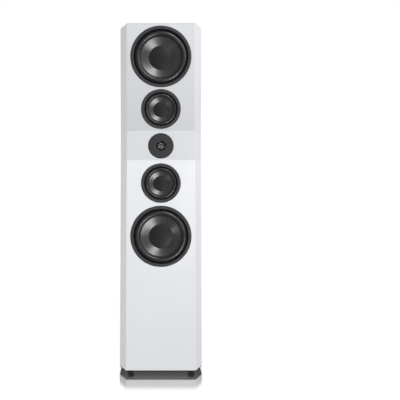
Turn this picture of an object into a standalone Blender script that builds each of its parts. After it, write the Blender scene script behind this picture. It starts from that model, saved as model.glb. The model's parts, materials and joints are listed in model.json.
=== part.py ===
"""A floorstanding loudspeaker: a faceted, white lacquered cabinet with five drivers.

Metres, +Z up. The front faces -Y. The origin is on the floor, in the middle of the footprint.
A driver is built along its own +Z, which points out of the baffle, under an empty on the baffle's face.
Pieces on the rear panel are built the same way, under an empty whose +Z points out of the back.
"""

import math
from typing import NamedTuple

import bmesh
import bpy
from mathutils import Matrix, Vector

# Cabinet
WIDTH = 0.300
DEPTH = 0.400
HEIGHT = 1.260
PANELS_BOTTOM = 0.0155
FACE_HALF_WIDTH = 0.124
CHAMFER_DEPTH = 0.061
PANEL = 0.019
BAFFLE = 0.022
REAR_PANEL = 0.022
POCKET_HALF_WIDTH = 0.119
BASE_FLANGE = 0.0025
BASE_INSET = 0.0005
GAP = 0.0003

# How far cutters reach past what they cut, and how far joined solids sink into each other
CUT_REACH = 0.050
JOIN_DEPTH = 0.001

# The baffle's face from the side: a height, and how far it stands in front of the tweeter's facet
FACE_PROFILE = ((PANELS_BOTTOM, 0.047), (0.768, 0.0), (0.874, 0.0), (HEIGHT, 0.0175))
FACET_Y = FACE_PROFILE[0][1] - DEPTH / 2
REAR_Y = DEPTH / 2
HALF_WIDTH = WIDTH / 2
INNER_HALF_WIDTH = HALF_WIDTH - PANEL

# Inner structure
CHAMBER_BOTTOM = 0.602
CHAMBER_TOP = 1.030
CHAMBER_HALF_WIDTH = 0.092
CHAMBER_REAR_Y = 0.020
CHAMBER_WALL = 0.012
BRACE_HEIGHT = 0.290
BRACE_THICKNESS = 0.018
BRACE_WINDOWS_Y = (-0.085, 0.085)
BRACE_WINDOW_HALF = (0.060, 0.055)

# Feet
FOOT_RADIUS = 0.012
FOOT_TIP_RADIUS = 0.006
FOOT_X = 0.109
FOOT_Y = 0.170
FOOT_HEIGHT = PANELS_BOTTOM - BASE_FLANGE - GAP
STUD_RADIUS = 0.004
STUD_LENGTH = 0.012
FOOT_SHOULDER = 0.0065

# Rear panel: reflex ports and terminals
PORT_HEIGHTS = {"upper": 1.130, "lower": 0.440}
PORT_RADIUS = 0.038
PORT_WALL = 0.0035
PORT_LENGTH = 0.150
PORT_FLANGE_RADIUS = 0.052
PORT_FLANGE = 0.0040
PORT_FLARE = 0.0100
PORT_FLARE_DEPTH = 0.0145
SEAT_CLEARANCE = 0.0005
TERMINAL_HEIGHT = 0.190
TERMINAL_WIDTH = 0.104
TERMINAL_TALL = 0.080
TERMINAL_DEPTH = 0.030
TERMINAL_WALL = 0.004
TERMINAL_FLANGE = 0.010
TERMINAL_FLANGE_THICKNESS = 0.003
POST_SPACING = 0.01905
POST_RADIUS = 0.003
POST_END = -0.0040
POST_HOLE_RADIUS = 0.0021
POST_HOLE_END = -0.0190
POST_TAIL = 0.016
WASHER_RADIUS = 0.0070
WASHER_THICKNESS = 0.0027
CAP_RADIUS = 0.0075
CAP_END = -0.0055
CAP_EDGE = 0.0008
CAP_GAP = 0.0033

# Crossover
BOARD_SIZE = (0.130, 0.180, 0.002)
BOARD_CENTRE = (0.0, 0.060)
STANDOFF = 0.007
STANDOFF_RADIUS = 0.004
STANDOFF_INSET = 0.010
SOLDERED = 0.0005
# Inductors: x and y on the board, radius and height. Capacitors: x and y, and their half sizes and height.
INDUCTORS = ((-0.030, -0.045, 0.026, 0.022), (0.030, 0.030, 0.022, 0.020))
INDUCTOR_BORE = (0.010, 0.004)
CAPACITORS = ((0.036, -0.050), (-0.034, 0.022), (-0.034, 0.056))
CAPACITOR_HALF = (0.022, 0.011)
CAPACITOR_TALL = 0.021

# Facets around a turn. Pieces that nest have the same number, so that their facets lie in line.
PORT_STEPS = 20
TWEETER_STEPS = 16
SMALL_STEPS = 12


class Driver(NamedTuple):
    """A cone driver. Radii and depths are from its axis and from the baffle's face."""

    ring: float
    ring_inner: float
    roll_outer: float
    roll_inner: float
    cap: float
    coil: float
    cone_edge: float
    neck: float
    spider: float
    seat: float
    top_plate: float
    magnet: float
    magnet_radius: float
    back_plate: float
    spokes: int
    skin: float
    steps: int


WOOFER = Driver(
    ring=0.1105, ring_inner=0.0998, roll_outer=0.0930, roll_inner=0.0760, cap=0.0432, coil=0.0248,
    cone_edge=0.0080, neck=0.0300, spider=0.0415, seat=0.0617, top_plate=0.0080,
    magnet=0.0180, magnet_radius=0.0660, back_plate=0.0075, spokes=6, skin=0.0014, steps=20,
)
MIDRANGE = Driver(
    ring=0.0720, ring_inner=0.0612, roll_outer=0.0567, roll_inner=0.0472, cap=0.0272, coil=0.0158,
    cone_edge=0.0076, neck=0.0205, spider=0.0280, seat=0.0400, top_plate=0.0050,
    magnet=0.0130, magnet_radius=0.0400, back_plate=0.0050, spokes=4, skin=0.0012, steps=16,
)
DRIVERS = {
    "woofer_upper": (WOOFER, 1.1415),
    "midrange_upper": (MIDRANGE, 0.9530),
    "midrange_lower": (MIDRANGE, 0.6838),
    "woofer_lower": (WOOFER, 0.4915),
}
RING_PROUD = 0.0015
RING_THICKNESS = 0.0032
FLANGE_INSET = 0.0020
REBATE_DEPTH = 0.0080
REBATE_CLEARANCE = 0.0005
HOLE_CLEARANCE = 0.0012
LIP_DEPTH = 0.0073
INNER_LIP = 0.0035
OUTER_LIP_GAP = 0.0014
LEDGE_SHARE = 0.72
SEAT_SHARE = 0.64
BASKET_WALL = 0.0055
CONE_CURVE = 0.14
CAP_RISE_SHARE = 0.10
CAP_SKIN = 0.0011
CAP_RIM = 0.0012
SPIDER_WAVE = 0.0014
COIL_GAP = 0.0010
COIL_WALL = 0.0010

# Tweeter
TWEETER_HEIGHT = 0.8195
PLATE_RADIUS = 0.0465
PLATE_PROUD = 0.0008
PLATE_THICKNESS = 0.0055
PLATE_BOSS = 0.0018
MOUTH_RADIUS = 0.0185
THROAT_RADIUS = 0.0162
DOME_RADIUS = 0.0127
DOME_TOP = 0.0022
DOME_BASE = 0.0070
DOME_SKIN = 0.0007
TWEETER_MOTOR_RADIUS = 0.0330
TWEETER_MOTOR_BACK = 0.0420
TWEETER_COIL_LOW = -0.0150
TWEETER_GAP_LOW = -0.0220
TWEETER_GAP = 0.0009
PLATE_EDGE = 0.0008
DIFFUSER_FRONT = 0.0004
DIFFUSER_BACK = -0.0012
DIFFUSER_RING = (0.0070, 0.0094)
DIFFUSER_HUB = 0.0028
DIFFUSER_ARM = (0.0016, 0.0012)
DIFFUSER_TURN = 97


def material(name, colour, roughness, metallic=0.0):
    made = bpy.data.materials.new(name)
    made.use_nodes = True
    shader = made.node_tree.nodes["Principled BSDF"]
    shader.inputs["Base Color"].default_value = (*colour, 1.0)
    shader.inputs["Roughness"].default_value = roughness
    shader.inputs["Metallic"].default_value = metallic
    made.diffuse_color = (*colour, 1.0)
    return made


def clear_scene():
    for thing in list(bpy.data.objects):
        bpy.data.objects.remove(thing)


def new_collection(name):
    made = bpy.data.collections.new(name)
    bpy.context.scene.collection.children.link(made)
    return made


def add_object(name, mesh, finish, parent=None):
    """The mesh as an object: a part where it has a finish, and a cutter where it has none."""
    thing = bpy.data.objects.new(name, mesh)
    thing.parent = parent
    if finish is None:
        CUTTERS.objects.link(thing)
        thing.hide_render = True
        thing.display_type = "WIRE"
    else:
        PARTS.objects.link(thing)
        mesh.materials.append(finish)
    return thing


def add_mesh(name, bm, finish, parent=None):
    bmesh.ops.recalc_face_normals(bm, faces=bm.faces)
    mesh = bpy.data.meshes.new(name)
    bm.to_mesh(mesh)
    bm.free()
    return add_object(name, mesh, finish, parent)


def add_box(name, low, high, finish=None, parent=None):
    low, high = Vector(low), Vector(high)
    bm = bmesh.new()
    place = Matrix.Translation((low + high) / 2) @ Matrix.Diagonal((*(high - low), 1.0))
    bmesh.ops.create_cube(bm, size=1.0, matrix=place)
    return add_mesh(name, bm, finish, parent)


def add_plate(name, outline, thickness, finish):
    """A flat outline, given as points in space, made thick along its own normal."""
    mesh = bpy.data.meshes.new(name)
    mesh.from_pydata(outline, [], [range(len(outline))])
    thing = add_object(name, mesh, finish)
    solid = thing.modifiers.new("thickness", "SOLIDIFY")
    solid.thickness = thickness
    solid.offset = 1.0
    return thing


def add_loft(name, rings, finish=None):
    """A solid between rings of points, all with the same number of points."""
    bm = bmesh.new()
    levels = [[bm.verts.new(point) for point in ring] for ring in rings]
    count = len(rings[0])
    for below, above in zip(levels, levels[1:]):
        for i in range(count):
            j = (i + 1) % count
            bm.faces.new((below[i], below[j], above[j], above[i]))
    bm.faces.new(levels[0])
    bm.faces.new(levels[-1])
    return add_mesh(name, bm, finish)


def add_turned(name, profile, steps, finish=None, parent=None):
    """A profile of (radius, height) points turned about the parent's Z axis.

    It runs down its outer side. It is a closed ring, unless it starts and ends on the axis.
    """
    on_axis = profile[0][0] == 0.0 and profile[-1][0] == 0.0
    mesh = bpy.data.meshes.new(name)
    count = len(profile)
    edges = [(i, (i + 1) % count) for i in range(count - 1 if on_axis else count)]
    mesh.from_pydata([(radius, 0.0, height) for radius, height in profile], edges, [])
    thing = add_object(name, mesh, finish, parent)
    turn = thing.modifiers.new("turn", "SCREW")
    turn.steps = turn.render_steps = steps
    turn.use_merge_vertices = True
    turn.merge_threshold = 0.00002
    turn.use_smooth_shade = False
    return thing


def combine(thing, other, operation="DIFFERENCE"):
    boolean = thing.modifiers.new(operation.lower(), "BOOLEAN")
    boolean.operation = operation
    boolean.solver = "EXACT"
    boolean.object = other


def add_axis(name, location, rotation):
    """An empty that carries pieces built along their own +Z."""
    empty = bpy.data.objects.new(name, None)
    empty.empty_display_size = 0.05
    empty.location = location
    empty.rotation_euler = rotation
    PARTS.objects.link(empty)
    return empty


# Cabinet sections


def face_y(height):
    """Where the baffle's face is at a height."""
    for (low, front), (high, next_front) in zip(FACE_PROFILE, FACE_PROFILE[1:]):
        if height <= high:
            share = (height - low) / (high - low)
            return FACET_Y - (front + (next_front - front) * share)
    raise ValueError("above the cabinet")


def face_tilt(height):
    """How far the baffle's face leans forward at a height, as a turn about X from facing -Y."""
    for (low, front), (high, next_front) in zip(FACE_PROFILE, FACE_PROFILE[1:]):
        if height <= high:
            return math.atan2(next_front - front, high - low)
    raise ValueError("above the cabinet")


def levels_between(low, high):
    """The heights that a solid between low and high needs: its ends, and the baffle's bends."""
    return [low, *(z for z, _ in FACE_PROFILE if low < z < high), high]


def mirrored(right_side, height):
    """A symmetric section: points of the right side, front to back, then the left side back again."""
    left_side = [(-x, y) for x, y in reversed(right_side)]
    return [(x, y, height) for x, y in right_side + left_side]


def baffle_section(height):
    front = face_y(height)
    return mirrored(
        [
            (FACE_HALF_WIDTH, front),
            (HALF_WIDTH, front + CHAMFER_DEPTH),
            (INNER_HALF_WIDTH, front + CHAMFER_DEPTH),
            (POCKET_HALF_WIDTH, front + BAFFLE),
        ],
        height,
    )


def inner_section(height, rear=REAR_Y):
    """The room behind the baffle and between the side panels."""
    front = face_y(height)
    return mirrored(
        [
            (POCKET_HALF_WIDTH - 2 * GAP, front + BAFFLE + GAP),
            (INNER_HALF_WIDTH - 2 * GAP, front + CHAMFER_DEPTH),
            (INNER_HALF_WIDTH - 2 * GAP, rear),
        ],
        height,
    )


def outer_section(height, inset):
    front = face_y(max(height, PANELS_BOTTOM))
    return mirrored(
        [
            (FACE_HALF_WIDTH - inset, front + inset),
            (HALF_WIDTH - inset, front + CHAMFER_DEPTH),
            (HALF_WIDTH - inset, REAR_Y - inset),
        ],
        height,
    )


def make_front_baffle():
    rings = [baffle_section(z) for z in levels_between(PANELS_BOTTOM + GAP, HEIGHT)]
    return add_loft("front_baffle", rings, LACQUER)


def make_side_panels():
    heights = levels_between(PANELS_BOTTOM + GAP, HEIGHT)
    front = [(face_y(z) + CHAMFER_DEPTH + GAP, z) for z in heights]
    outline = [*front, (REAR_Y, heights[-1]), (REAR_Y, heights[0])]
    for name, side in (("side_panel_left", -1), ("side_panel_right", 1)):
        points = [(side * INNER_HALF_WIDTH, y, z) for y, z in outline]
        add_plate(name, points[::-side], PANEL, LACQUER)


def make_top_panel():
    heights = levels_between(HEIGHT - PANEL, HEIGHT)
    add_loft("top_panel", [inner_section(z) for z in heights], LACQUER)


def make_bottom_panel():
    """A panel between the sides, with a thin black flange under the whole cabinet."""
    panel_top = PANELS_BOTTOM + PANEL
    panel_levels = (PANELS_BOTTOM, panel_top)
    panel = add_loft("bottom_panel", [inner_section(z) for z in panel_levels], BLACK_PAINT)
    core_levels = (PANELS_BOTTOM - JOIN_DEPTH, PANELS_BOTTOM + JOIN_DEPTH)
    core = add_loft("base_core", [inner_section(z, REAR_Y - JOIN_DEPTH) for z in core_levels])
    flange_levels = (PANELS_BOTTOM - BASE_FLANGE, PANELS_BOTTOM)
    flange = add_loft("base_flange", [outer_section(z, BASE_INSET) for z in flange_levels])
    combine(panel, core, "UNION")
    combine(panel, flange, "UNION")
    radius, top = STUD_RADIUS + GAP, STUD_LENGTH + 0.001
    hole = [(0.0, top), (radius, top), (radius, -CUT_REACH), (0.0, -CUT_REACH)]
    for x, y in foot_places():
        foot = add_axis("stud_hole_axis", (x, y, PANELS_BOTTOM - BASE_FLANGE), (0.0, 0.0, 0.0))
        combine(panel, add_turned("stud_hole", hole, SMALL_STEPS, parent=foot))


def make_rear_panel():
    low = PANELS_BOTTOM + PANEL + GAP
    high = HEIGHT - PANEL - GAP
    half = INNER_HALF_WIDTH - GAP
    return add_box(
        "rear_panel", (-half, REAR_Y - REAR_PANEL, low), (half, REAR_Y, high), LACQUER
    )


def make_midrange_chamber():
    """A box behind the baffle, open to it, that keeps the woofers' air from the other drivers."""

    def shell(inset, front_reach):
        heights = levels_between(CHAMBER_BOTTOM + inset, CHAMBER_TOP - inset)
        half = CHAMBER_HALF_WIDTH - inset
        rings = []
        for z in heights:
            front = face_y(z) + BAFFLE + GAP - front_reach
            rings.append(mirrored([(half, front), (half, CHAMBER_REAR_Y - inset)], z))
        return rings

    chamber = add_loft("midrange_chamber", shell(0.0, 0.0), FIBREBOARD)
    combine(chamber, add_loft("chamber_hollow", shell(CHAMBER_WALL, 0.010)))


def make_window_brace():
    heights = (BRACE_HEIGHT, BRACE_HEIGHT + BRACE_THICKNESS)
    rear = REAR_Y - REAR_PANEL - GAP
    brace = add_loft("window_brace", [inner_section(z, rear) for z in heights], FIBREBOARD)
    middle = BRACE_HEIGHT + BRACE_THICKNESS / 2
    half_x, half_y = BRACE_WINDOW_HALF
    for i, y in enumerate(BRACE_WINDOWS_Y):
        low = (-half_x, y - half_y, middle - CUT_REACH)
        high = (half_x, y + half_y, middle + CUT_REACH)
        combine(brace, add_box(f"brace_window_{i}", low, high))


# Drivers


def driver_axis(name, height):
    turn = (math.pi / 2 + face_tilt(height), 0.0, 0.0)
    return add_axis(f"{name}_axis", (0.0, face_y(height), height), turn)


def arc(centre, radius, start, end, count, depth=None):
    """Points on an arc in a profile, with angles in degrees from +r towards +z.

    A depth makes it an ellipse: the radius is then its half width, and the depth its half height.
    """
    found = []
    for i in range(count):
        angle = math.radians(start + (end - start) * i / (count - 1))
        across, along = radius * math.cos(angle), (depth or radius) * math.sin(angle)
        found.append((centre[0] + across, centre[1] + along))
    return found


def make_driver_cutout(name, d, axis):
    rebate = d.ring + REBATE_CLEARANCE
    hole = d.ring_inner + HOLE_CLEARANCE
    profile = [(0.0, CUT_REACH), (rebate, CUT_REACH), (rebate, -REBATE_DEPTH), (hole, -REBATE_DEPTH)]
    profile += [(hole, -CUT_REACH), (0.0, -CUT_REACH)]
    return add_turned(f"{name}_cutout", profile, d.steps, parent=axis)


def make_trim_ring(name, d, axis):
    top = RING_PROUD
    low = top - RING_THICKNESS
    profile = [(d.ring_inner, top), (d.ring, top), (d.ring, low), (d.ring_inner, low)]
    add_turned(f"{name}_trim_ring", profile, d.steps, RING_METAL, axis)


def make_basket(name, d, axis):
    """The cast frame: a flange, spokes down to the spider's ledge, and the seat on the motor."""
    scale = d.roll_outer / WOOFER.roll_outer
    flange = d.ring - FLANGE_INSET
    neck = d.ring_inner + 0.0004
    waist = LEDGE_SHARE * d.roll_outer
    seat_outer = SEAT_SHARE * d.roll_outer
    seat_inner = d.coil + 0.018 * scale
    throat = d.roll_outer + 0.0002
    mouth = d.ring_inner - 0.0002
    under = -REBATE_DEPTH + GAP
    shoulder = -REBATE_DEPTH - 0.0045
    outside = [(flange, -FLANGE_INSET), (flange, under), (neck, under)]
    outside += [(waist + BASKET_WALL, -d.spider - 0.0030), (seat_outer, -d.seat)]
    inside = [(seat_inner, -d.seat), (seat_inner, -d.seat + 0.0040), (waist - 0.0110, -d.spider)]
    inside += [(waist, -d.spider), (throat, shoulder), (throat, -LIP_DEPTH)]
    inside += [(mouth, -LIP_DEPTH), (mouth, -FLANGE_INSET)]
    basket = add_turned(f"{name}_basket", outside + inside, d.steps, CAST_METAL, axis)

    # The windows between the spokes
    bm = bmesh.new()
    high, low = shoulder - 0.0025, -d.spider + 0.0035
    spoke_width = 0.016 * scale
    width = 2 * math.pi * 0.8 * d.roll_outer / d.spokes - spoke_width
    size = Matrix.Diagonal((d.ring - 0.5 * d.roll_outer, width, high - low, 1.0))
    middle = Matrix.Translation(((d.ring + 0.5 * d.roll_outer) / 2 + 0.003, 0.0, (high + low) / 2))
    for spoke in range(d.spokes):
        turn = Matrix.Rotation(2 * math.pi * (spoke + 0.5) / d.spokes, 4, "Z")
        bmesh.ops.create_cube(bm, size=1.0, matrix=turn @ middle @ size)
    combine(basket, add_mesh(f"{name}_windows", bm, None, axis))


def make_surround(name, d, axis):
    """The half roll, with a lip on the basket outside it and a lip on the cone inside it."""
    centre = ((d.roll_outer + d.roll_inner) / 2, -LIP_DEPTH + GAP + d.skin)
    radius = (d.roll_outer - d.roll_inner) / 2
    lip_top, lip_low = centre[1], -LIP_DEPTH + GAP
    outer_lip = d.ring_inner - OUTER_LIP_GAP
    inner_lip = d.roll_inner - INNER_LIP
    profile = [(inner_lip, lip_top), *arc(centre, radius, 180, 0, 4), (outer_lip, lip_top)]
    profile += [(outer_lip, lip_low), (d.roll_outer - d.skin, lip_low)]
    profile += arc(centre, radius - d.skin, 0, 180, 4)[1:-1]
    profile += [(d.roll_inner + d.skin, lip_low), (inner_lip, lip_low)]
    add_turned(f"{name}_surround", profile, d.steps, RUBBER, axis)


def cone_depth(d, radius):
    """How deep the cone's face is at a radius: it steepens a little towards its neck."""
    share = (d.roll_inner - radius) / (d.roll_inner - d.coil)
    curve = (1 - CONE_CURVE) * share + CONE_CURVE * share * share
    return d.cone_edge + (d.neck - d.cone_edge) * curve


def make_cone(name, d, axis):
    outer, inner = d.roll_inner - 0.0005, d.coil + 0.0008
    radii = [outer, (outer + inner) / 2, inner]
    face = [(radius, -cone_depth(d, radius)) for radius in reversed(radii)]
    back = [(radius, -cone_depth(d, radius) - d.skin) for radius in radii]
    add_turned(f"{name}_cone", face + back, d.steps, CONE_FIBRE, axis)


def make_dust_cap(name, d, axis):
    """A shallow dome that rests on the cone's face."""
    rim = -cone_depth(d, d.cap) + GAP
    rise = CAP_RISE_SHARE * d.cap
    face = [(d.cap * i / 2, rim + CAP_RIM + rise * (1 - (i / 2) ** 2)) for i in range(3)]
    back = [(radius * 0.985, height - CAP_SKIN) for radius, height in reversed(face)]
    add_turned(f"{name}_dust_cap", face + back, d.steps, CONE_FIBRE, axis)


def make_voice_coil(name, d, axis):
    inner, outer = d.coil - COIL_WALL / 2, d.coil + COIL_WALL / 2
    top = -d.neck - 0.0005
    low = -d.seat - 0.65 * d.top_plate
    profile = [(inner, top), (outer, top), (outer, low), (inner, low)]
    add_turned(f"{name}_voice_coil", profile, d.steps, COIL, axis)


def make_spider(name, d, axis):
    """The corrugated disc that centres the coil."""
    outer, inner = LEDGE_SHARE * d.roll_outer - 0.0006, d.coil + 0.0010
    low = -d.spider + GAP
    face = []
    for i in range(5):
        lift = SPIDER_WAVE * (i % 2)
        face.append((inner + (outer - inner) * i / 4, low + d.skin + lift))
    back = [(radius, height - d.skin * 0.9) for radius, height in reversed(face)]
    add_turned(f"{name}_spider", face + back, d.steps, FABRIC, axis)


def motor_levels(d):
    """Depths of the motor's faces: under the basket, the top plate, the magnet and the back plate."""
    top = -d.seat - GAP
    plate = top - d.top_plate
    magnet = plate - d.magnet
    return top, plate, magnet, magnet - d.back_plate


def make_woofer_motor(name, d, axis):
    top, plate, magnet, back = motor_levels(d)
    gap_outer = d.coil + COIL_WALL / 2 + COIL_GAP
    pole = d.coil - COIL_WALL / 2 - COIL_GAP
    rim = d.magnet_radius - 0.005
    vent = 0.008
    ring = [(gap_outer, top), (rim, top), (rim, plate), (gap_outer, plate)]
    add_turned(f"{name}_top_plate", ring, d.steps, STEEL, axis)
    inner = gap_outer + 0.008
    ring = [(inner, plate - GAP), (d.magnet_radius, plate - GAP)]
    ring += [(d.magnet_radius, magnet), (inner, magnet)]
    add_turned(f"{name}_magnet", ring, d.steps, FERRITE, axis)
    yoke = [(vent, top), (pole, top), (pole, magnet - GAP), (rim, magnet - GAP), (rim, back)]
    yoke += [(vent, back)]
    add_turned(f"{name}_yoke", yoke, d.steps, STEEL, axis)


def make_midrange_motor(name, d, axis):
    """The midrange's plates, magnet and pole, bonded into one can."""
    top, _, magnet, back = motor_levels(d)
    gap_outer = d.coil + COIL_WALL / 2 + COIL_GAP
    pole = d.coil - COIL_WALL / 2 - COIL_GAP
    vent = 0.005
    can = [(gap_outer, top), (d.magnet_radius, top), (d.magnet_radius, back), (vent, back)]
    can += [(vent, top), (pole, top), (pole, magnet), (gap_outer, magnet)]
    add_turned(f"{name}_motor", can, d.steps, FERRITE, axis)


def make_cone_driver(name, d, height, baffle):
    axis = driver_axis(name, height)
    combine(baffle, make_driver_cutout(name, d, axis))
    make_trim_ring(name, d, axis)
    make_basket(name, d, axis)
    make_surround(name, d, axis)
    make_cone(name, d, axis)
    make_dust_cap(name, d, axis)
    make_voice_coil(name, d, axis)
    make_spider(name, d, axis)
    if d is WOOFER:
        make_woofer_motor(name, d, axis)
    else:
        make_midrange_motor(name, d, axis)


def make_tweeter(baffle):
    axis = driver_axis("tweeter", TWEETER_HEIGHT)
    face = PLATE_PROUD
    back = face - PLATE_THICKNESS
    boss = back - PLATE_BOSS
    rebate = PLATE_RADIUS + REBATE_CLEARANCE
    hole = TWEETER_MOTOR_RADIUS + 0.002
    profile = [(0.0, CUT_REACH), (rebate, CUT_REACH), (rebate, back - GAP), (hole, back - GAP)]
    profile += [(hole, -CUT_REACH), (0.0, -CUT_REACH)]
    combine(baffle, add_turned("tweeter_cutout", profile, TWEETER_STEPS, parent=axis))

    chamfer = [(PLATE_RADIUS - PLATE_EDGE, face), (PLATE_RADIUS, face - PLATE_EDGE)]
    profile = [(MOUTH_RADIUS, face), *chamfer]
    profile += [(PLATE_RADIUS, back), (TWEETER_MOTOR_RADIUS, back), (TWEETER_MOTOR_RADIUS, boss)]
    profile += [(THROAT_RADIUS, boss)]
    add_turned("tweeter_faceplate", profile, TWEETER_STEPS, RING_METAL, axis)

    make_tweeter_dome(axis)
    make_tweeter_motor(axis, boss - GAP)
    make_tweeter_diffuser(axis)


def make_tweeter_dome(axis):
    """The dome with its coil former, as one thin shell."""
    angles = [math.pi / 2 * i / 4 for i in range(5)]

    def shell(radius, top):
        rise = -DOME_BASE - top
        curve = [(radius * math.sin(a), -DOME_BASE - rise * math.cos(a)) for a in angles]
        return [(0.0, top), *curve[1:]]

    outside = shell(DOME_RADIUS, -DOME_TOP)
    inside = shell(DOME_RADIUS - DOME_SKIN, -DOME_TOP - DOME_SKIN)
    former = [(DOME_RADIUS, TWEETER_COIL_LOW), (DOME_RADIUS - DOME_SKIN, TWEETER_COIL_LOW)]
    profile = [*outside, *former, *reversed(inside)]
    add_turned("tweeter_dome", profile, TWEETER_STEPS, DOME_METAL, axis)


def make_tweeter_motor(axis, top):
    pole = DOME_RADIUS - DOME_SKIN - TWEETER_GAP
    pole_top = -DOME_BASE - 0.0020
    gap_outer = DOME_RADIUS + TWEETER_GAP
    rim = TWEETER_MOTOR_RADIUS - 0.001
    can = [(0.0, pole_top), (pole, pole_top), (pole, TWEETER_GAP_LOW)]
    can += [(gap_outer, TWEETER_GAP_LOW), (gap_outer, top), (rim, top)]
    can += [(rim, -TWEETER_MOTOR_BACK), (0.0, -TWEETER_MOTOR_BACK)]
    add_turned("tweeter_motor", can, TWEETER_STEPS, FERRITE, axis)


def make_tweeter_diffuser(axis):
    """A small ring and hub in front of the dome, on three arms from the faceplate's mouth."""
    front, back = DIFFUSER_FRONT, DIFFUSER_BACK
    inner, outer = DIFFUSER_RING
    ring = [(inner, front), (outer, front), (outer, back), (inner, back)]
    diffuser = add_turned("tweeter_diffuser", ring, TWEETER_STEPS, RING_METAL, axis)
    hub = [(0.0, front), (DIFFUSER_HUB, front), (DIFFUSER_HUB, back), (0.0, back)]
    combine(diffuser, add_turned("diffuser_hub", hub, SMALL_STEPS, parent=axis), "UNION")
    reach = MOUTH_RADIUS - 0.0010
    size = Matrix.Diagonal((reach, *DIFFUSER_ARM, 1.0))
    place = Matrix.Translation((reach / 2, 0.0, (front + back) / 2))
    for i in range(3):
        bm = bmesh.new()
        turn = Matrix.Rotation(math.radians(DIFFUSER_TURN + 120 * i), 4, "Z")
        bmesh.ops.create_cube(bm, size=1.0, matrix=turn @ place @ size)
        combine(diffuser, add_mesh(f"diffuser_arm_{i}", bm, None, axis), "UNION")


# Back, base and crossover


def rear_axis(name, x, height):
    return add_axis(f"{name}_axis", (x, REAR_Y, height), (-math.pi / 2, 0.0, 0.0))


def make_port(name, height, rear_panel):
    """A reflex port, flared at its mouth and flush with the back."""
    axis = rear_axis(name, 0.0, height)
    tube = PORT_RADIUS + PORT_WALL
    centre = (PORT_RADIUS + PORT_FLARE, -GAP - PORT_FLARE_DEPTH)
    flare = arc(centre, PORT_FLARE, 180, 100, 4, PORT_FLARE_DEPTH)
    under = -PORT_FLANGE + GAP
    profile = [(PORT_FLANGE_RADIUS, -GAP), (PORT_FLANGE_RADIUS, under), (tube, under)]
    profile += [(tube, -PORT_LENGTH), (PORT_RADIUS, -PORT_LENGTH), *flare]
    add_turned(name, profile, PORT_STEPS, PORT_PLASTIC, axis)

    rebate, hole = PORT_FLANGE_RADIUS + SEAT_CLEARANCE, tube + SEAT_CLEARANCE
    cut = [(0.0, CUT_REACH), (rebate, CUT_REACH), (rebate, -PORT_FLANGE), (hole, -PORT_FLANGE)]
    cut += [(hole, -CUT_REACH), (0.0, -CUT_REACH)]
    combine(rear_panel, add_turned(f"{name}_cutout", cut, PORT_STEPS, parent=axis))


def rear_box(name, axis, half, top, low, finish=None):
    """A box with half a width and half a height, between two levels out of the back."""
    return add_box(name, (-half[0], -half[1], low), (half[0], half[1], top), finish, axis)


def make_terminals(rear_panel):
    axis = rear_axis("terminal", 0.0, TERMINAL_HEIGHT)

    def grown(by):
        return TERMINAL_WIDTH / 2 + by, TERMINAL_TALL / 2 + by

    sink = TERMINAL_FLANGE_THICKNESS
    floor = -TERMINAL_DEPTH + TERMINAL_WALL
    cup = rear_box("terminal_cup", axis, grown(TERMINAL_FLANGE), -GAP, -sink, PORT_PLASTIC)
    combine(cup, rear_box("cup_body", axis, grown(0.0), -JOIN_DEPTH, -TERMINAL_DEPTH), "UNION")
    combine(cup, rear_box("cup_hollow", axis, grown(-TERMINAL_WALL), CUT_REACH, floor))

    rim = grown(TERMINAL_FLANGE + SEAT_CLEARANCE)
    combine(rear_panel, rear_box("cup_rebate", axis, rim, CUT_REACH, -sink - GAP))
    combine(rear_panel, rear_box("cup_hole", axis, grown(SEAT_CLEARANCE), CUT_REACH, -CUT_REACH))

    for colour, side, finish in (("red", 1, CAP_RED), ("black", -1, CAP_BLACK)):
        x = side * POST_SPACING / 2
        place = rear_axis(f"post_{colour}", x, TERMINAL_HEIGHT)
        hole = POST_RADIUS + GAP
        bore = [(0.0, CUT_REACH), (hole, CUT_REACH), (hole, -CUT_REACH), (0.0, -CUT_REACH)]
        combine(cup, add_turned(f"post_hole_{colour}", bore, SMALL_STEPS, parent=place))
        make_post(f"binding_post_{colour}", floor, place)
        make_post_cap(f"post_cap_{colour}", floor, finish, place)


def make_post(name, floor, axis):
    """A binding post: a plug hole in its end, a washer on the cup's floor and a stud through it."""
    seat, tail = floor + GAP, floor - POST_TAIL
    washer = seat + WASHER_THICKNESS
    profile = [(0.0, POST_HOLE_END), (POST_HOLE_RADIUS, POST_HOLE_END), (POST_HOLE_RADIUS, POST_END)]
    profile += [(POST_RADIUS, POST_END), (POST_RADIUS, washer), (WASHER_RADIUS, washer)]
    profile += [(WASHER_RADIUS, seat), (POST_RADIUS, seat), (POST_RADIUS, tail), (0.0, tail)]
    add_turned(name, profile, SMALL_STEPS, GOLD, axis)


def make_post_cap(name, floor, finish, axis):
    """A screw cap with chamfered ends, a little above the post's washer."""
    bore = POST_RADIUS + 0.0004
    low = floor + CAP_GAP
    neck = CAP_RADIUS - CAP_EDGE
    profile = [(bore, CAP_END), (neck, CAP_END), (CAP_RADIUS, CAP_END - CAP_EDGE)]
    profile += [(CAP_RADIUS, low + CAP_EDGE), (neck, low), (bore, low)]
    add_turned(name, profile, SMALL_STEPS, finish, axis)


def foot_places():
    return [(x, y) for y in (-FOOT_Y, FOOT_Y) for x in (-FOOT_X, FOOT_X)]


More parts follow.
